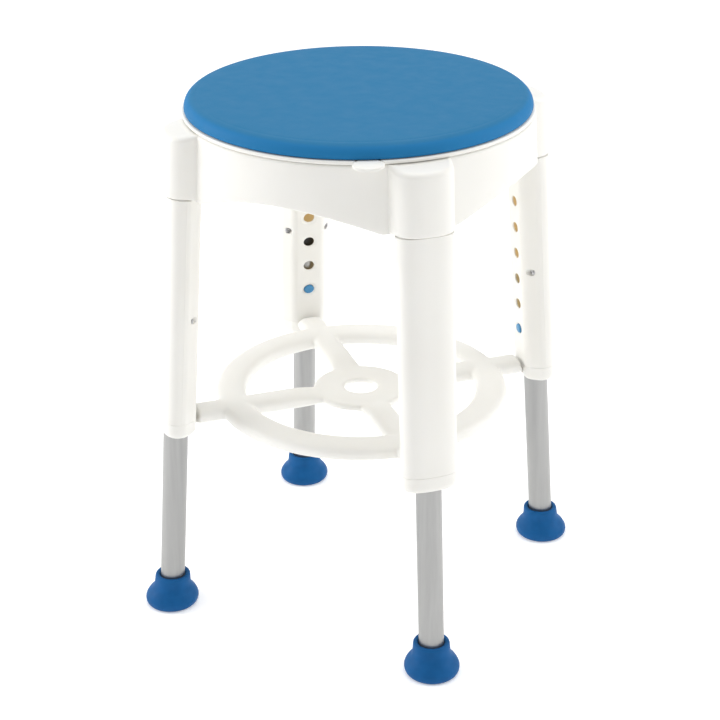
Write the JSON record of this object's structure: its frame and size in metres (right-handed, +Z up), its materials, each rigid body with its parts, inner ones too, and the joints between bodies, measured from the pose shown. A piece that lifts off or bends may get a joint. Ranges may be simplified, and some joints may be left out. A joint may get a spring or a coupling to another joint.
{
  "type": "shower stool",
  "caption": "Round height-adjustable shower stool with a padded swivelling seat on a moulded frame, push-button telescopic legs with flared rubber feet and a ring footrest.",
  "frame": {"origin": "on the floor, under the seat's swivel axis", "axes": "+Z up along the swivel axis, -Y towards the front, the legs on the diagonals"},
  "size_m": [0.3366, 0.3366, 0.5081],
  "materials": {
    "white_plastic": "fine satin grain, moulded",
    "blue_foam": "matt closed-cell foam pad",
    "acetal": "smooth natural acetal",
    "zinc_steel": "zinc plated",
    "spring_steel": "bright spring leaf",
    "satin_aluminium": "satin drawn tube",
    "black_nylon": "matt",
    "blue_button": "smooth moulded",
    "blue_rubber": "matt moulded rubber"
  },
  "bodies": {
    "frame": {"seat_frame": "white_plastic", "glide_ring": "acetal", "footrest_ring": "white_plastic", "front_left_sleeve_outer_shell": "white_plastic", "front_left_sleeve_inner_shell": "white_plastic", "front_left_end_collar": "white_plastic", "front_left_screw_a": "zinc_steel", "front_left_screw_b": "zinc_steel", "front_right_sleeve_outer_shell": "white_plastic", "front_right_sleeve_inner_shell": "white_plastic", "front_right_end_collar": "white_plastic", "front_right_screw_a": "zinc_steel", "front_right_screw_b": "zinc_steel", "rear_right_sleeve_outer_shell": "white_plastic", "rear_right_sleeve_inner_shell": "white_plastic", "rear_right_end_collar": "white_plastic", "rear_right_screw_a": "zinc_steel", "rear_right_screw_b": "zinc_steel", "rear_left_sleeve_outer_shell": "white_plastic", "rear_left_sleeve_inner_shell": "white_plastic", "rear_left_end_collar": "white_plastic", "rear_left_screw_a": "zinc_steel", "rear_left_screw_b": "zinc_steel"},
    "seat": {"seat_pad": "blue_foam", "swivel_plate": "white_plastic", "pivot_bolt": "zinc_steel", "pivot_washer": "zinc_steel", "pivot_lock_nut": "zinc_steel"},
    "release_tab": {"seat_release_tab": "white_plastic"},
    "front_left_leg": {"front_left_extension_tube": "satin_aluminium", "front_left_tube_plug": "black_nylon", "front_left_button_spring": "spring_steel", "front_left_rubber_foot": "blue_rubber", "front_left_foot_washer": "zinc_steel"},
    "front_left_button": {"front_left_push_button": "blue_button"},
    "front_right_leg": {"front_right_extension_tube": "satin_aluminium", "front_right_tube_plug": "black_nylon", "front_right_button_spring": "spring_steel", "front_right_rubber_foot": "blue_rubber", "front_right_foot_washer": "zinc_steel"},
    "front_right_button": {"front_right_push_button": "blue_button"},
    "rear_right_leg": {"rear_right_extension_tube": "satin_aluminium", "rear_right_tube_plug": "black_nylon", "rear_right_button_spring": "spring_steel", "rear_right_rubber_foot": "blue_rubber", "rear_right_foot_washer": "zinc_steel"},
    "rear_right_button": {"rear_right_push_button": "blue_button"},
    "rear_left_leg": {"rear_left_extension_tube": "satin_aluminium", "rear_left_tube_plug": "black_nylon", "rear_left_button_spring": "spring_steel", "rear_left_rubber_foot": "blue_rubber", "rear_left_foot_washer": "zinc_steel"},
    "rear_left_button": {"rear_left_push_button": "blue_button"}
  },
  "joints": [
    {"name": "seat_swivel", "type": "hinge", "parent": "frame", "child": "seat", "pos_m": [0, 0, 0.4933], "axis": [0, 0, 1], "continuous": true},
    {"name": "seat_release_tab_flex", "type": "hinge", "parent": "seat", "child": "release_tab", "pos_m": [0.07272, -0.13119, 0.49335], "axis": [0.8746, 0.4848, 0], "range_deg": [0, 2.5], "stiffness_Nm_per_rad": 3, "springref_deg": -1.72},
    {"name": "front_left_height_adjust", "type": "slide", "parent": "frame", "child": "front_left_leg", "axis": [0.0483, 0.0483, 0.9977], "range_m": [0, 0.1377], "deforming": ["front_left_push_button"]},
    {"name": "front_left_button_press", "type": "slide", "parent": "front_left_leg", "child": "front_left_button", "axis": [-0.7055, -0.7055, 0.0683], "range_m": [0, 0.006], "stiffness_N_per_m": 800, "springref_m": -0.003, "deforming": ["front_left_button_spring"]},
    {"name": "front_right_height_adjust", "type": "slide", "parent": "frame", "child": "front_right_leg", "axis": [-0.0483, 0.0483, 0.9977], "range_m": [0, 0.1377], "deforming": ["front_right_push_button"]},
    {"name": "front_right_button_press", "type": "slide", "parent": "front_right_leg", "child": "front_right_button", "axis": [0.7055, -0.7055, 0.0683], "range_m": [0, 0.006], "stiffness_N_per_m": 800, "springref_m": -0.003, "deforming": ["front_right_button_spring"]},
    {"name": "rear_right_height_adjust", "type": "slide", "parent": "frame", "child": "rear_right_leg", "axis": [-0.0483, -0.0483, 0.9977], "range_m": [0, 0.1377], "deforming": ["rear_right_push_button"]},
    {"name": "rear_right_button_press", "type": "slide", "parent": "rear_right_leg", "child": "rear_right_button", "axis": [0.7055, 0.7055, 0.0683], "range_m": [0, 0.006], "stiffness_N_per_m": 800, "springref_m": -0.003, "deforming": ["rear_right_button_spring"]},
    {"name": "rear_left_height_adjust", "type": "slide", "parent": "frame", "child": "rear_left_leg", "axis": [0.0483, -0.0483, 0.9977], "range_m": [0, 0.1377], "deforming": ["rear_left_push_button"]},
    {"name": "rear_left_button_press", "type": "slide", "parent": "rear_left_leg", "child": "rear_left_button", "axis": [-0.7055, 0.7055, 0.0683], "range_m": [0, 0.006], "stiffness_N_per_m": 800, "springref_m": -0.003, "deforming": ["rear_left_button_spring"]}
  ]
}
